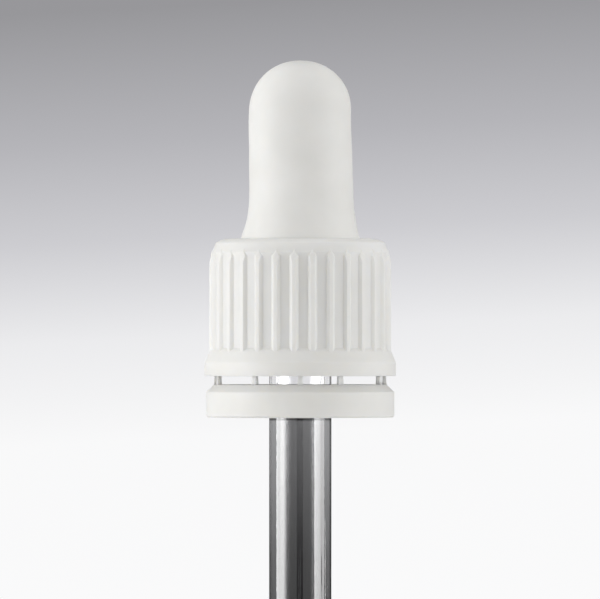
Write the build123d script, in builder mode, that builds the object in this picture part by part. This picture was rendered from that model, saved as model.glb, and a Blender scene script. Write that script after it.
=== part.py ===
"""Dropper closure for a small glass bottle.

A soft teat and a glass pipette, held in a ribbed screw cap with a tamper-evident band.
The origin is the centre of the sealing plane: the underside of the teat's flange, which
lies on the rim of the bottle's neck. +Z points out of the bottle. Lengths are in mm.
"""
from build123d import *
from math import radians, sqrt, tan
import os

os.makedirs("parts", exist_ok=True)

# Glass pipette, which the radii of the teat and the cap are built out from
tube_radius = 3.5
tube_fit = 0.02
glass_wall = 0.9
rim_lip = 0.6
rim_height = 1.3
rim_edge = 0.4
pipette_depth = 69.0
taper_length = 11.0
shoulder_radius = 12.0
throat_radius = 5.0
nozzle_length = 2.0
nozzle_radius = 1.5
orifice_radius = 0.6
nozzle_edge_radius = 0.3

# Teat
cavity_clearance = 0.42
cavity_floor = 1.8
teat_wall = 1.2
teat_taper = 0.13
teat_height = 20.0
teat_crown_flattening = 1.6
teat_corner_offset = 0.22
teat_flare_height = 4.3
teat_flare_width = 0.85
flange_thickness = 1.3
flange_width = 1.55
flange_edge = 0.2
sleeve_depth = 3.5
sleeve_wall = 1.1
sleeve_edge = 0.3

# Hole and bore of the cap: the bore holds the thread for an 18 mm neck
teat_fit = 0.05
flange_clearance = 0.1
thread_depth = 0.75
skirt_depth = 12.83
bore_lead_in = 0.2

# Outside of the cap
cap_top_thickness = 1.3
cap_wall = 0.8
crown_land = 1.25
crown_rise = 0.5
cone_height = 1.05
cone_width = 0.4
collar_wall = 1.64
collar_height = 1.52
flare_height = 1.27
ledge_width = 0.3
ledge_height = 0.34
cap_edge = 0.15

# Grip ribs
rib_count = 30
first_rib_angle = -4
rib_height = 0.31
rib_width = 1.04
rib_flank_angle = 45
rib_top_drop = 1.2
rib_point_height = 0.63
rib_slope_length = 1.5
rib_root_depth = 0.3

# Tamper-evident band and the bridges that it hangs from
slot_height = 0.97
band_relief = 0.1
band_wall = 1.37
band_height = 3.7
band_chamfer_width = 0.87
band_chamfer_height = 0.85
band_edge = 0.2
snap_bead_height = 0.35
snap_bead_flat = 0.5
snap_bead_ramp = 0.7
band_lip_height = 0.6
bridge_width = 0.6
bridge_taper = 3
side_bridge_angles = [-90, 90]
front_bridge_angles = [-75, -32.6, 0, 28.4, 69]

# Radii worked out from the pipette outwards
tube_bore = tube_radius - glass_wall
rim_radius = tube_radius + rim_lip
sleeve_bore = tube_radius + tube_fit
sleeve_radius = sleeve_bore + sleeve_wall
cavity_radius = rim_radius + cavity_clearance
teat_top_radius = cavity_radius + teat_wall
teat_foot_radius = teat_top_radius + teat_taper
teat_crown_radius = teat_top_radius + teat_crown_flattening
teat_corner_radius = teat_top_radius - teat_corner_offset
teat_neck_radius = teat_foot_radius + teat_flare_width
teat_hole_radius = teat_neck_radius + teat_fit
flange_radius = teat_neck_radius + flange_width
thread_crest_radius = flange_radius + flange_clearance
bore_radius = thread_crest_radius + thread_depth
wall_radius = bore_radius + cap_wall
crown_foot_radius = wall_radius - cone_width
collar_radius = bore_radius + collar_wall
band_inner_radius = bore_radius + band_relief
band_radius = band_inner_radius + band_wall
band_land_radius = band_radius - band_chamfer_width

# Levels worked out from the sealing plane
cap_top = flange_thickness + cap_top_thickness
crown_foot = cap_top - crown_rise
cone_foot = crown_foot - cone_height
collar_top = collar_height - skirt_depth
flare_top = collar_top + flare_height
band_top = -skirt_depth - slot_height
band_bottom = band_top - band_height
teat_top = cap_top + teat_height
rim_top = cavity_floor + rim_height
taper_top = taper_length - pipette_depth
nozzle_top = nozzle_length - pipette_depth


def crown_edge(crown_top, crown_radius, radius):
    """Height at which a crown of this radius meets a wall of the given radius."""
    return crown_top - crown_radius + sqrt(crown_radius**2 - radius**2)


# One grip rib: a pointed outline with sloping flanks, and a crest that dies into the shoulder
rib_root_radius = wall_radius - rib_root_depth
rib_crest_radius = wall_radius + rib_height
rib_root_half_width = rib_width / 2 + rib_root_depth * tan(radians(rib_flank_angle))
rib_top = cap_top - rib_top_drop
rib_bottom = flare_top - flare_height / 2
with BuildPart() as rib:
    with BuildSketch(Plane.YZ.offset(rib_root_radius)):
        with BuildLine():
            Polyline(
                (-rib_root_half_width, rib_bottom),
                (rib_root_half_width, rib_bottom),
                (rib_root_half_width, rib_top - rib_point_height),
                (0, rib_top + rib_root_depth),
                (-rib_root_half_width, rib_top - rib_point_height),
                close=True,
            )
        make_face()
    extrude(amount=rib_root_depth + rib_height, taper=rib_flank_angle)
    slope_top = Vector(wall_radius, 0, rib_top)
    slope_foot = Vector(rib_crest_radius, 0, rib_top - rib_slope_length)
    slope = Plane(origin=slope_foot, x_dir=(0, 1, 0), z_dir=(slope_foot - slope_top).cross(Vector(0, 1, 0)))
    split(bisect_by=slope, keep=Keep.BOTTOM)

# Screw cap: turned shell with its ribs
with BuildPart() as screw_cap:
    with BuildSketch(Plane.XZ):
        with BuildLine():
            top = Line((teat_hole_radius, cap_top), (teat_hole_radius + crown_land, cap_top))
            crown = TangentArc(top @ 1, (crown_foot_radius, crown_foot), tangent=top % 1)
            Polyline(
                crown @ 1,
                (wall_radius, cone_foot),
                (wall_radius, flare_top + ledge_height),
                (wall_radius + ledge_width, flare_top),
                (collar_radius, collar_top),
                (collar_radius, -skirt_depth),
                (bore_radius + bore_lead_in, -skirt_depth),
                (bore_radius, bore_lead_in - skirt_depth),
                (bore_radius, flange_thickness),
                (teat_hole_radius, flange_thickness),
                top @ 0,
            )
        make_face()
    revolve(axis=Axis.Z)
    top_edges = screw_cap.edges().filter_by(GeomType.CIRCLE).group_by(Axis.Z)[-1]
    chamfer(top_edges.sort_by(SortBy.RADIUS)[0], cap_edge)
    with PolarLocations(0, rib_count, start_angle=first_rib_angle - 90):
        add(rib.part)
screw_cap.part.label = "screw_cap"
export_step(screw_cap.part, "parts/screw_cap.step")

# Tamper-evident band: its inner bead snaps under the collar of the neck
bead_radius = band_inner_radius - snap_bead_height
bead_bottom = band_bottom + band_lip_height
bead_top = bead_bottom + snap_bead_flat
with BuildPart() as tamper_ring:
    with BuildSketch(Plane.XZ):
        with BuildLine():
            Polyline(
                (band_inner_radius, band_top),
                (band_land_radius, band_top),
                (band_radius, band_top - band_chamfer_height),
                (band_radius, band_bottom),
                (band_inner_radius, band_bottom),
                (bead_radius, bead_bottom),
                (bead_radius, bead_top),
                (band_inner_radius, bead_top + snap_bead_ramp),
                close=True,
            )
        make_face()
    revolve(axis=Axis.Z)
    bottom_edges = tamper_ring.edges().filter_by(GeomType.CIRCLE).group_by(Axis.Z)[0]
    chamfer(bottom_edges.sort_by(SortBy.RADIUS)[-1], band_edge)
tamper_ring.part.label = "tamper_ring"
export_step(tamper_ring.part, "parts/tamper_ring.step")

# Frangible bridges: one block at each side and at each front angle, repeated at the back
bridge_depth = band_land_radius - band_inner_radius
bridge_radius = band_inner_radius + bridge_depth / 2
back_bridge_angles = [180 - angle for angle in front_bridge_angles]
with BuildPart() as tamper_bridges:
    for angle in side_bridge_angles + front_bridge_angles + back_bridge_angles:
        with BuildSketch(Plane.XY.offset(band_top).rotated((0, 0, angle - 90))):
            with Locations((bridge_radius, 0)):
                Rectangle(bridge_depth, bridge_width)
        extrude(amount=slot_height, taper=bridge_taper)
tamper_bridges.part.label = "tamper_bridges"
export_step(tamper_bridges.part, "parts/tamper_bridges.step")

# Teat: domed skin, flange under the cap's top and a sleeve that grips the pipette
cavity_top = teat_top - teat_wall
cavity_crown_radius = teat_crown_radius - teat_wall
flare_end = cap_top + teat_flare_height
with BuildPart() as teat:
    with BuildSketch(Plane.XZ) as skin:
        with BuildLine():
            wall = Line(
                (teat_foot_radius, flare_end),
                (teat_top_radius, crown_edge(teat_top, teat_crown_radius, teat_top_radius)),
            )
            RadiusArc(wall @ 1, (0, teat_top), -teat_crown_radius)
            flare = TangentArc(wall @ 0, (teat_neck_radius, cap_top), tangent=-(wall % 0))
            Polyline(
                flare @ 1,
                (teat_neck_radius, flange_thickness),
                (flange_radius, flange_thickness),
                (flange_radius, 0),
                (sleeve_radius, 0),
                (sleeve_radius, -sleeve_depth),
                (0, -sleeve_depth),
                (0, teat_top),
            )
        make_face()
        crown_corner = skin.vertices().sort_by(Axis.Y).filter_by(lambda v: v.X > teat_top_radius / 2)[-1]
        fillet(crown_corner, teat_corner_radius)
    revolve(axis=Axis.Z)
    with BuildSketch(Plane.XZ) as cavity:
        with BuildLine():
            inner_wall = Line(
                (cavity_radius, cavity_floor),
                (cavity_radius, crown_edge(cavity_top, cavity_crown_radius, cavity_radius)),
            )
            RadiusArc(inner_wall @ 1, (0, cavity_top), -cavity_crown_radius)
            Polyline((0, cavity_top), (0, cavity_floor), inner_wall @ 0)
        make_face()
        cavity_corner = cavity.vertices().sort_by(Axis.Y).filter_by(lambda v: v.X > cavity_radius / 2)[-1]
        fillet(cavity_corner, teat_corner_radius - teat_wall)
    revolve(axis=Axis.Z, mode=Mode.SUBTRACT)
    with BuildSketch(Plane.XY.offset(-sleeve_depth)):
        Circle(sleeve_bore)
    extrude(amount=sleeve_depth + cavity_floor, mode=Mode.SUBTRACT)
    flange_edges = teat.edges().filter_by(GeomType.CIRCLE).filter_by(lambda e: e.radius > teat_hole_radius)
    chamfer(flange_edges, flange_edge)
    sleeve_end_edges = teat.edges().filter_by(GeomType.CIRCLE).group_by(Axis.Z)[0]
    chamfer(sleeve_end_edges.sort_by(SortBy.RADIUS)[-1], sleeve_edge)
teat.part.label = "teat"
export_step(teat.part, "parts/teat.step")

# Glass pipette: straight tube with a lipped rim, drawn down to a narrow tip
with BuildPart() as pipette:
    with BuildSketch(Plane.XZ) as glass:
        with BuildLine():
            Polyline(
                (tube_bore, rim_top),
                (rim_radius, rim_top),
                (rim_radius, cavity_floor),
                (tube_radius, cavity_floor),
                (tube_radius, taper_top),
                (nozzle_radius, nozzle_top),
                (nozzle_radius, -pipette_depth),
                (orifice_radius, -pipette_depth),
                (orifice_radius, nozzle_top),
                (tube_bore, taper_top),
                close=True,
            )
        make_face()
        tip_corners, throat_corners, shoulder_corners = glass.vertices().group_by(Axis.Y)[:3]
        fillet(shoulder_corners, shoulder_radius)
        fillet(throat_corners, throat_radius)
        chamfer(glass.vertices().group_by(Axis.Y)[-1], rim_edge)
        tip_corner = tip_corners.sort_by(Axis.X)[-1]
        fillet(tip_corner, nozzle_edge_radius)
    revolve(axis=Axis.Z)
pipette.part.label = "pipette"
export_step(pipette.part, "parts/pipette.step")
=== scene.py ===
"""Looks for the dropper closure: rubber teat, ribbed cap with its tamper band, and glass pipette."""
import math

import bpy
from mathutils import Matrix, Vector


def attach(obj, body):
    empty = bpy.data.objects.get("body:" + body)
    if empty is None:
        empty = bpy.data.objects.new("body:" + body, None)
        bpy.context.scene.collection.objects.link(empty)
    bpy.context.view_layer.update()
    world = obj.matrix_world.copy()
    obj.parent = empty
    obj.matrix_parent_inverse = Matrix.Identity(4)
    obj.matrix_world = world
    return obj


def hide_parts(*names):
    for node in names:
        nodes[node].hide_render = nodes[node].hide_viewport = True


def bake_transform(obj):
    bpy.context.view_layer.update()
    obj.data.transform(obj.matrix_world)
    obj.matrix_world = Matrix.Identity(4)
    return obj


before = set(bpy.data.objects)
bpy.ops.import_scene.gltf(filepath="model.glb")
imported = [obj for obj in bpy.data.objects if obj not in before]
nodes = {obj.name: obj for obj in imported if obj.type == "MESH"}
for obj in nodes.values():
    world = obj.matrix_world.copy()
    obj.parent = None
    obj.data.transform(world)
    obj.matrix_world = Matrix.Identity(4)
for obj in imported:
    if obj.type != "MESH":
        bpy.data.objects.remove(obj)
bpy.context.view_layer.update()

# A millimetre in metres, and the radius in millimetres up to which a point counts as on the axis
MM = 0.001
ON_AXIS = 1e-6

# The camera's frame: level with the middle of the photograph, seen from far off
VIEW_WIDTH = 67.4 * MM
CAMERA_LENS = 1000.0
SENSOR_WIDTH = 36.0
CAMERA_SIDE = -0.03 * MM
CAMERA_HEIGHT = -4.25 * MM
CAMERA_DISTANCE = VIEW_WIDTH * CAMERA_LENS / SENSOR_WIDTH
CAMERA_REACH = 20.0


# Shader helpers

def connect(tree, value, socket):
    """Sets a socket to a number, or links another node's output to it."""
    if isinstance(value, (int, float)):
        socket.default_value = value
    else:
        tree.links.new(value, socket)


def arithmetic(tree, operation, *values):
    """A math node on numbers and outputs."""
    node = tree.nodes.new("ShaderNodeMath")
    node.operation = operation
    for value, socket in zip(values, node.inputs):
        connect(tree, value, socket)
    return node.outputs["Value"]


def spread(tree, value, from_low, from_high, low=0.0, high=1.0, kind="LINEAR"):
    """A value mapped from one range onto another."""
    node = tree.nodes.new("ShaderNodeMapRange")
    node.interpolation_type = kind
    for name, number in (("From Min", from_low), ("From Max", from_high), ("To Min", low), ("To Max", high)):
        node.inputs[name].default_value = number
    tree.links.new(value, node.inputs["Value"])
    return node.outputs["Result"]


def colour_ramp(tree, value, stops):
    """A colour ramp on a value, from (position, colour)."""
    node = tree.nodes.new("ShaderNodeValToRGB")
    elements = node.color_ramp.elements
    while len(elements) < len(stops):
        elements.new(0.5)
    for element, (position, colour) in zip(elements, stops):
        element.position = position
        element.color = (*colour, 1.0)
    tree.links.new(value, node.inputs["Fac"])
    return node.outputs["Color"]


def grey(tone):
    """A tone as a colour."""
    return (tone, tone, tone)


def coordinates(tree, output="Object"):
    """Texture coordinates as a vector."""
    return tree.nodes.new("ShaderNodeTexCoord").outputs[output]


def axes(tree, vector):
    """A vector's X, Y and Z."""
    split = tree.nodes.new("ShaderNodeSeparateXYZ")
    tree.links.new(vector, split.inputs["Vector"])
    return split.outputs


def node_material(name):
    """A new material with its node tree and its Principled shader."""
    material = bpy.data.materials.new(name)
    material.use_nodes = True
    return material, material.node_tree, material.node_tree.nodes["Principled BSDF"]


def noise(tree, scale, detail, stretch=(1.0, 1.0, 1.0)):
    """Noise in object coordinates, with its coordinates stretched."""
    mapping = tree.nodes.new("ShaderNodeMapping")
    mapping.inputs["Scale"].default_value = stretch
    texture = tree.nodes.new("ShaderNodeTexNoise")
    texture.inputs["Scale"].default_value = scale
    texture.inputs["Detail"].default_value = detail
    texture.inputs["Roughness"].default_value = 0.5
    tree.links.new(coordinates(tree), mapping.inputs["Vector"])
    tree.links.new(mapping.outputs["Vector"], texture.inputs["Vector"])
    return texture.outputs["Fac"]


def rounded_edges(tree, radius):
    """Normals that round off a moulded piece's sharp edges."""
    bevel = tree.nodes.new("ShaderNodeBevel")
    bevel.samples = 6
    bevel.inputs["Radius"].default_value = radius
    return bevel.outputs["Normal"]


def bump(tree, heights, shader, normal=None):
    """Bump from several (height, distance in metres, strength) in a row, on the shader's normal."""
    for height, distance, strength in heights:
        node = tree.nodes.new("ShaderNodeBump")
        node.inputs["Distance"].default_value = distance
        node.inputs["Strength"].default_value = strength
        tree.links.new(height, node.inputs["Height"])
        if normal is not None:
            tree.links.new(normal, node.inputs["Normal"])
        normal = node.outputs["Normal"]
    tree.links.new(normal, shader.inputs["Normal"])


def set_inputs(shader, values):
    """Sets a shader's own sockets from (name, value)."""
    for name, value in values:
        shader.inputs[name].default_value = value


# Materials

def teat_rubber():
    """Satin rubber with soft mottling and a fine grain."""
    material, tree, shader = node_material("teat_rubber")
    cloud = noise(tree, 220.0, 3.0)
    grain = noise(tree, 9000.0, 2.0)
    base = colour_ramp(tree, cloud, ((0.3, (0.82, 0.82, 0.80)), (0.7, (0.86, 0.86, 0.845))))
    tree.links.new(base, shader.inputs["Base Color"])
    tree.links.new(spread(tree, cloud, 0.0, 1.0, 0.50, 0.60), shader.inputs["Roughness"])
    set_inputs(shader, (
        ("Specular IOR Level", 0.22),
        ("IOR", 1.45),
        ("Subsurface Weight", 0.25),
        ("Subsurface Radius", (1.0, 0.9, 0.8)),
        ("Subsurface Scale", 0.6 * MM),
    ))
    bump(tree, [(cloud, 0.02 * MM, 0.3), (grain, 0.004 * MM, 0.35)], shader)
    return material


def cap_plastic():
    """Satin moulded plastic with eased edges, flow lines along the mould's opening and a fine grain."""
    material, tree, shader = node_material("cap_plastic")
    cloud = noise(tree, 160.0, 3.0)
    grain = noise(tree, 12000.0, 2.0)
    flow = noise(tree, 900.0, 3.0, (1.0, 1.0, 0.12))
    base = colour_ramp(tree, cloud, ((0.3, (0.815, 0.815, 0.795)), (0.7, (0.855, 0.855, 0.84))))
    tree.links.new(base, shader.inputs["Base Color"])
    tree.links.new(spread(tree, flow, 0.0, 1.0, 0.46, 0.58), shader.inputs["Roughness"])
    set_inputs(shader, (
        ("Specular IOR Level", 0.24),
        ("IOR", 1.49),
        ("Subsurface Weight", 0.75),
        ("Subsurface Radius", (1.0, 0.95, 0.85)),
        ("Subsurface Scale", 1.3 * MM),
    ))
    bump(tree, [(flow, 0.012 * MM, 0.4), (grain, 0.003 * MM, 0.3)], shader, rounded_edges(tree, 0.06 * MM))
    return material


# Smoke tint of the glass, as (height in mm, tint): nearly clear inside the cap, and below the band a smoke tint
# that grows darker towards the tip, which is painted shade, with a thin painted dark line just below the band
SMOKE_AND_PAINTED_SHADE = (
    # below the band the tint darkens towards the tip: painted shade
    (-38.0, 0.14),
    (-33.5, 0.17),
    (-24.5, 0.295),
    (-17.86, 0.39),
    # a thin dark line just below the band: a painted reflection of the band's dark underside
    (-17.80, 0.13),
    (-17.62, 0.13),
    (-17.54, 0.39),
    (-16.6, 0.80),
    (-14.2, 0.93),
)
SMOKE_BLUE = 1.01

# Drawing lines in the glass: the height in mm where they begin, and where they are at their deepest
LINES_START, LINES_FULL = -26.0, -34.0


def pipette_glass():
    """Drawn glass with a smoke tint by height that grows darker towards the tip as painted shade, a painted dark
    reflection line under the band, faint streaks along it and drawing lines low down.
    """
    material, tree, shader = node_material("pipette_glass")
    height = axes(tree, coordinates(tree))["Z"]
    low, high = SMOKE_AND_PAINTED_SHADE[0][0], SMOKE_AND_PAINTED_SHADE[-1][0]
    along = spread(tree, height, low * MM, high * MM)
    # the tint ramp by height carries painted shade towards the tip and a painted reflection line under the band
    stops = [((z - low) / (high - low), (tint, tint, tint * SMOKE_BLUE)) for z, tint in SMOKE_AND_PAINTED_SHADE]
    drawn = noise(tree, 300.0, 2.0, (1.0, 1.0, 0.03))
    streaks = tree.nodes.new("ShaderNodeMix")
    streaks.data_type = "RGBA"
    streaks.blend_type = "MULTIPLY"
    streaks.inputs["Factor"].default_value = 1.0
    tree.links.new(colour_ramp(tree, along, stops), streaks.inputs["A"])
    tree.links.new(colour_ramp(tree, drawn, ((0.3, grey(0.92)), (0.7, grey(1.0)))), streaks.inputs["B"])
    tree.links.new(streaks.outputs["Result"], shader.inputs["Base Color"])
    set_inputs(shader, (("Roughness", 0.02), ("IOR", 1.5), ("Transmission Weight", 1.0)))
    fine = noise(tree, 1500.0, 1.0, (1.0, 1.0, 0.004))
    low_down = spread(tree, height, LINES_START * MM, LINES_FULL * MM)
    grooves = colour_ramp(tree, fine, ((0.60, grey(1.0)), (0.66, grey(0.0))))
    deep = arithmetic(tree, "MULTIPLY", grooves, low_down)
    bump(tree, [(drawn, 0.004 * MM, 0.1), (fine, 0.003 * MM, 0.12), (deep, 0.03 * MM, 0.5)], shader)
    return material


# Mesh helpers

def arc(centre, radius, start, end, steps):
    """Points (r, z) on an arc, angles in degrees from the outward direction."""
    return [
        (
            centre[0] + radius * math.cos(math.radians(start + (end - start) * i / steps)),
            centre[1] + radius * math.sin(math.radians(start + (end - start) * i / steps)),
        )
        for i in range(steps + 1)
    ]


def line(start, end, steps):
    """Points (r, z) along a straight line, without its end."""
    return [
        (start[0] + (end[0] - start[0]) * i / steps, start[1] + (end[1] - start[1]) * i / steps)
        for i in range(steps)
    ]


def mesh_piece(name, vertices, faces):
    """A new object from vertices in metres and faces."""
    mesh = bpy.data.meshes.new(name)
    mesh.from_pydata(vertices, [], faces)
    mesh.update()
    piece = bpy.data.objects.new(name, mesh)
    bpy.context.scene.collection.objects.link(piece)
    return piece


def lathe(name, profile, segments):
    """A closed mesh turned from a profile of (r, z) in millimetres; a point on the axis becomes a pole."""
    vertices, rings = [], []
    for r, z in profile:
        if r <= ON_AXIS:
            rings.append([len(vertices)] * segments)
            vertices.append((0.0, 0.0, z * MM))
        else:
            rings.append(range(len(vertices), len(vertices) + segments))
            for i in range(segments):
                angle = 2 * math.pi * i / segments
                vertices.append((r * MM * math.cos(angle), r * MM * math.sin(angle), z * MM))
    faces = []
    for low, high in zip(rings, rings[1:]):
        for i in range(segments):
            j = (i + 1) % segments
            corners = [low[i], low[j], high[j], high[i]]
            faces.append([c for k, c in enumerate(corners) if c != corners[k - 1]])
    return mesh_piece(name, vertices, [f for f in faces if len(f) > 2])


def smooth(piece, angle):
    """Smooth shading with edges sharper than an angle in degrees kept."""
    for polygon in piece.data.polygons:
        polygon.use_smooth = True
    piece.data.set_sharp_from_angle(angle=math.radians(angle))


def eased(share):
    """A share from 0 to 1 that starts and ends gently."""
    return share * share * (3 - 2 * share)


# Teat: turned skin with its cavity, flange and sleeve, in millimetres

TEAT_TOP, CAP_TOP, FLANGE_TOP = 22.6, 2.6, 1.3
TEAT_TOP_R, TEAT_FOOT_R, TEAT_NECK_R = 5.72, 5.85, 6.70
TEAT_FLARE_END, TEAT_TAPER_LENGTH = 7.6, 10.3
TEAT_CROWN_R, TEAT_CORNER_R = 7.32, 5.5
TEAT_WALL = 1.2
CAVITY_R, CAVITY_FLOOR = 4.52, 1.8
FLANGE_R = 8.25
SLEEVE_R, SLEEVE_BORE_R, SLEEVE_END = 4.62, 3.52, -3.5
TEAT_SEGMENTS, WALL_STEPS, CORNER_STEPS, CROWN_STEPS, FLARE_STEPS = 160, 14, 22, 6, 14
TEAT_SHARP_ANGLE = 40

# Moulded corners, as steps in from the outer radius and from the face
FLANGE_EDGE = ((0.22, 0.0), (0.15, 0.02), (0.02, 0.15), (0.0, 0.22))
SLEEVE_EDGE = ((0.0, 0.3), (0.07, 0.15), (0.24, 0.02), (0.32, 0.0))

# Sideways shift of the soft teat, as (height, shift)
TEAT_LEAN = ((2.6, 0.0), (5.0, 0.12), (8.0, 0.12), (12.0, 0.04), (15.5, -0.05), (19.5, 0.02), (22.6, 0.03))


def dome(top, wall_r, crown_r, corner_r, wall_z):
    """Points up a wall from wall_z and over a corner and a flatter crown to the axis."""
    crown_z = top - crown_r
    corner_centre_r = wall_r - corner_r
    corner_z = crown_z + math.sqrt((crown_r - corner_r) ** 2 - corner_centre_r ** 2)
    turn = math.degrees(math.acos(corner_centre_r / (crown_r - corner_r)))
    points = arc((corner_centre_r, corner_z), corner_r, 0, turn, CORNER_STEPS)
    points += arc((0, crown_z), crown_r, turn, 90, CROWN_STEPS)[1:]
    return line((wall_r, wall_z), points[0], WALL_STEPS) + points


def flare(foot_r, foot_z, end_r, end_z):
    """Points down an arc that leaves a wall along it and widens to its end, without its start."""
    drop, width = foot_z - end_z, end_r - foot_r
    radius = (drop ** 2 + width ** 2) / (2 * width)
    turns = [math.asin(drop / radius) * i / FLARE_STEPS for i in range(1, FLARE_STEPS + 1)]
    return [(foot_r + radius * (1 - math.cos(turn)), foot_z - radius * math.sin(turn)) for turn in turns]


def lean_at(z):
    """Sideways shift of the teat at a height."""
    for (z0, x0), (z1, x1) in zip(TEAT_LEAN, TEAT_LEAN[1:]):
        if z <= z1:
            return x0 + (x1 - x0) * eased(min(max((z - z0) / (z1 - z0), 0.0), 1.0))
    return TEAT_LEAN[-1][1]


def teat_skin():
    """The whole moulding as one closed skin: outside from dome to sleeve, then its cavity."""
    widening = TEAT_FOOT_R - TEAT_TOP_R
    outer = [
        (r + widening * max(0.0, 1 - (z - TEAT_FLARE_END) / TEAT_TAPER_LENGTH), z)
        for r, z in dome(TEAT_TOP, TEAT_TOP_R, TEAT_CROWN_R, TEAT_CORNER_R, TEAT_FLARE_END)
    ]
    foot = flare(TEAT_FOOT_R, TEAT_FLARE_END, TEAT_NECK_R, CAP_TOP)
    flange = [(TEAT_NECK_R, FLANGE_TOP)]
    flange += [(FLANGE_R - inward, FLANGE_TOP - step) for inward, step in FLANGE_EDGE]
    flange += [(FLANGE_R - inward, step) for inward, step in reversed(FLANGE_EDGE)]
    sleeve = [(SLEEVE_R, 0.0)] + [(SLEEVE_R - inward, SLEEVE_END + step) for inward, step in SLEEVE_EDGE]
    sleeve += [(SLEEVE_BORE_R, SLEEVE_END), (SLEEVE_BORE_R, CAVITY_FLOOR)]
    inner = dome(TEAT_TOP - TEAT_WALL, CAVITY_R, TEAT_CROWN_R - TEAT_WALL, TEAT_CORNER_R - TEAT_WALL, CAVITY_FLOOR)
    piece = lathe("teat_skin", outer[::-1] + foot + flange + sleeve + inner, TEAT_SEGMENTS)
    for vertex in piece.data.vertices:
        vertex.co.x += lean_at(vertex.co.z / MM) * MM
    smooth(piece, TEAT_SHARP_ANGLE)
    return piece


# Neck thread inside the cap, in millimetres: a right-hand ridge that runs out at both ends

THREAD_PITCH, THREAD_TURNS, THREAD_LOW = 3.0, 1.6, -9.6
THREAD_ROOT_R, THREAD_CREST_R = 9.14, 8.42
THREAD_FOOT_HALF, THREAD_CREST_HALF = 0.75, 0.28
THREAD_SHOULDER, THREAD_EDGE, THREAD_OVERHANG = 0.08, 0.06, 0.04
THREAD_RUN_OUT, THREAD_LEAST = 0.09, 0.02
THREAD_END_WIDTH = 0.35
THREAD_STEPS, THREAD_SHARP_ANGLE = 200, 50


def neck_thread():
    """The ridge as one closed mesh: a rounded-off trapezoid carried up a helix, with a flat end at each side."""
    shoulder = (THREAD_CREST_R + THREAD_SHOULDER, THREAD_CREST_HALF + THREAD_OVERHANG)
    crest = (THREAD_CREST_R, THREAD_CREST_HALF - THREAD_EDGE)
    half = ((THREAD_ROOT_R, THREAD_FOOT_HALF), shoulder, crest)
    section = [(r, -z) for r, z in half] + [(r, z) for r, z in reversed(half)]
    count = len(section)
    vertices, faces = [], []
    for step in range(THREAD_STEPS + 1):
        share = step / THREAD_STEPS
        height = max(THREAD_LEAST, eased(min(1.0, share / THREAD_RUN_OUT, (1 - share) / THREAD_RUN_OUT)))
        width = THREAD_END_WIDTH + (1 - THREAD_END_WIDTH) * height
        angle = 2 * math.pi * THREAD_TURNS * share
        for r, z in section:
            radius = (THREAD_ROOT_R - (THREAD_ROOT_R - r) * height) * MM
            level = (THREAD_LOW + THREAD_PITCH * THREAD_TURNS * share + z * width) * MM
            vertices.append((radius * math.cos(angle), radius * math.sin(angle), level))
    for step in range(THREAD_STEPS):
        a, b = step * count, (step + 1) * count
        for k in range(count):
            n = (k + 1) % count
            faces.append((a + k, a + n, b + n, b + k))
    faces.append(tuple(range(count))[::-1])
    faces.append(tuple(THREAD_STEPS * count + k for k in range(count)))
    piece = mesh_piece("neck_thread_ridge", vertices, faces)
    smooth(piece, THREAD_SHARP_ANGLE)
    return piece


# Pieces, their materials and the bodies that they follow

teat = teat_skin()
thread = neck_thread()
plastic, glass, rubber = cap_plastic(), pipette_glass(), teat_rubber()
for piece, material in (
    (nodes["screw_cap"], plastic),
    (nodes["tamper_ring"], plastic),
    (nodes["tamper_bridges"], plastic),
    (nodes["pipette"], glass),
    (teat, rubber),
    (thread, plastic),
):
    piece.data.materials.clear()
    piece.data.materials.append(material)

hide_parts("teat")
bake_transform(teat)
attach(thread, "cap")


# Camera

camera_data = bpy.data.cameras.new("camera")
camera_data.lens = CAMERA_LENS
camera_data.sensor_width = SENSOR_WIDTH
camera_data.clip_end = CAMERA_REACH
camera = bpy.data.objects.new("camera", camera_data)
camera.location = (CAMERA_SIDE, -CAMERA_DISTANCE, CAMERA_HEIGHT)
camera.rotation_euler = (math.radians(90), 0, 0)
bpy.context.scene.collection.objects.link(camera)
bpy.context.scene.camera = camera


# Studio: two wide soft lamps at the sides, a fill in front, a lamp above and black cards for the glass

def around(azimuth, distance, height):
    """A point at an azimuth in degrees from the camera's side, to the right."""
    turn = math.radians(azimuth)
    return (distance * math.sin(turn), -distance * math.cos(turn), height)


def soft_lamp(name, azimuth, distance, height, size, power, falloff=None):
    """An area lamp aimed at the closure, with its strength across it as (position, strength)."""
    data = bpy.data.lights.new(name, "AREA")
    data.shape = "RECTANGLE"
    data.size, data.size_y = size
    data.energy = power
    lamp = bpy.data.objects.new(name, data)
    lamp.location = around(azimuth, distance, height)
    lamp.rotation_euler = (Vector((0, 0, 0)) - lamp.location).to_track_quat("-Z", "Y").to_euler()
    bpy.context.scene.collection.objects.link(lamp)
    if falloff:
        data.use_nodes = True
        tree = data.node_tree
        across = axes(tree, tree.nodes.new("ShaderNodeNewGeometry").outputs["Parametric"])["X"]
        strength = colour_ramp(tree, across, [(position, grey(value)) for position, value in falloff])
        tree.links.new(strength, tree.nodes["Emission"].inputs["Strength"])


SIDE_DISTANCE, SIDE_HEIGHT = 1.2, 0.035
LEFT_FALLOFF = ((0.0, 0.9), (0.7, 1.0), (1.0, 0.1))
RIGHT_FALLOFF = ((0.0, 1.4), (0.35, 1.2), (0.75, 0.75), (1.0, 0.45))
soft_lamp("left_softbox", -75.5, SIDE_DISTANCE, SIDE_HEIGHT, (1.06, 0.26), 10.8, LEFT_FALLOFF)
soft_lamp("right_softbox", 77.0, SIDE_DISTANCE, SIDE_HEIGHT, (1.04, 0.22), 6.5, RIGHT_FALLOFF)
soft_lamp("front_fill", -22.0, SIDE_DISTANCE, 0.62, (0.7, 0.5), 1.3)
soft_lamp("top_softbox", 180.0, 0.05, 1.1, (0.6, 0.6), 3.9)

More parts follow.
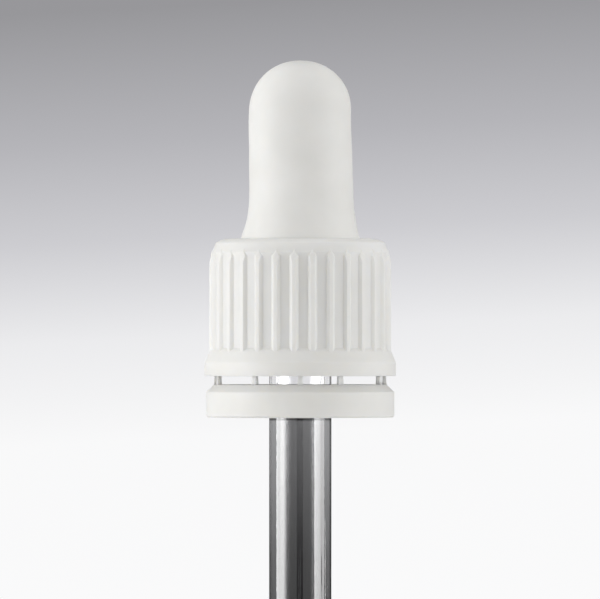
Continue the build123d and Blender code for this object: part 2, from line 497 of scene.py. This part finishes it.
FLAG_RADIUS, FLAG_BOTTOM, FLAG_TOP = 0.9, -0.075, 0.9
FLAG_STEPS = 24
flag_cloth, _, flag_shader = node_material("flag_cloth")
set_inputs(flag_shader, (("Base Color", (0.01, 0.01, 0.01, 1.0)), ("Roughness", 1.0)))


def dark_flag(name, start, end):
    """A curved black card that only reflections see, between two azimuths."""
    vertices = []
    for i in range(FLAG_STEPS + 1):
        azimuth = start + (end - start) * i / FLAG_STEPS
        vertices += [around(azimuth, FLAG_RADIUS, height) for height in (FLAG_BOTTOM, FLAG_TOP)]
    card = mesh_piece(name, vertices, [(2 * i, 2 * i + 2, 2 * i + 3, 2 * i + 1) for i in range(FLAG_STEPS)])
    card.data.materials.append(flag_cloth)
    card.visible_camera = card.visible_diffuse = card.visible_transmission = card.visible_shadow = False


dark_flag("front_flag", -13.0, 10.0)
dark_flag("left_flag", -174.0, -100.0)
dark_flag("right_flag", 101.0, 174.0)


# World: an even dim surround that lights the closure, and a backdrop that is pale below and grey above

AMBIENT = (0.345, 0.338, 0.328, 1.0)

# Backdrop colour from the lower to the upper edge of the camera's view, each edge as a slope from the level
BACKDROP_EDGE = 0.018
BACKDROP = (
    (0.00, (0.955, 0.955, 0.96)),
    (0.28, (0.945, 0.945, 0.95)),
    (0.45, (0.835, 0.835, 0.85)),
    (0.616, (0.61, 0.608, 0.635)),
    (0.78, (0.462, 0.46, 0.485)),
    (1.0, (0.312, 0.31, 0.325)),
)

# The backdrop is darker at the upper left; the tilt dies out away from the line of sight
BACKDROP_TILT = -0.055
BACKDROP_TILT_REACH = 40.0

world = bpy.data.worlds.new("studio")
bpy.context.scene.world = world
world.use_nodes = True
sky = world.node_tree
direction = axes(sky, coordinates(sky, "Generated"))
nearness = arithmetic(sky, "POWER", direction["Y"], BACKDROP_TILT_REACH)
sideways = arithmetic(sky, "MULTIPLY", direction["X"], nearness)
level = arithmetic(sky, "MULTIPLY_ADD", sideways, BACKDROP_TILT, direction["Z"])
rays = sky.nodes.new("ShaderNodeLightPath").outputs
seen = arithmetic(sky, "MAXIMUM", rays["Is Camera Ray"], rays["Is Glossy Ray"])
choose = sky.nodes.new("ShaderNodeMix")
choose.data_type = "RGBA"
choose.inputs["A"].default_value = AMBIENT
sky.links.new(arithmetic(sky, "MAXIMUM", seen, rays["Is Transmission Ray"]), choose.inputs["Factor"])
backdrop = colour_ramp(sky, spread(sky, level, -BACKDROP_EDGE, BACKDROP_EDGE), BACKDROP)
sky.links.new(backdrop, choose.inputs["B"])
sky.links.new(choose.outputs["Result"], sky.nodes["Background"].inputs["Color"])


# Floor: pale paper that fades out round its edge and is open from below

FLOOR_HALF, FLOOR_FADE_START = 1.0, 0.35
FLOOR_Z = -85 * MM
floor = mesh_piece(
    "floor",
    [(x * FLOOR_HALF, y * FLOOR_HALF, FLOOR_Z) for x, y in ((-1, -1), (1, -1), (1, 1), (-1, 1))],
    [(0, 1, 2, 3)],
)
floor_paper, paper, paper_shader = node_material("floor_paper")
set_inputs(paper_shader, (("Base Color", (0.82, 0.82, 0.82, 1.0)), ("Roughness", 0.9)))
distance = paper.nodes.new("ShaderNodeVectorMath")
distance.operation = "LENGTH"
paper.links.new(coordinates(paper), distance.inputs[0])
fade = spread(paper, distance.outputs["Value"], FLOOR_FADE_START, FLOOR_HALF, kind="SMOOTHSTEP")
underside = paper.nodes.new("ShaderNodeNewGeometry").outputs["Backfacing"]
open_paper = paper.nodes.new("ShaderNodeMixShader")
paper.links.new(arithmetic(paper, "MAXIMUM", fade, underside), open_paper.inputs["Fac"])
paper.links.new(paper_shader.outputs["BSDF"], open_paper.inputs[1])
paper.links.new(paper.nodes.new("ShaderNodeBsdfTransparent").outputs["BSDF"], open_paper.inputs[2])
paper.links.new(open_paper.outputs["Shader"], paper.nodes["Material Output"].inputs["Surface"])
floor.data.materials.append(floor_paper)

bpy.context.scene.view_settings.view_transform = "Standard"
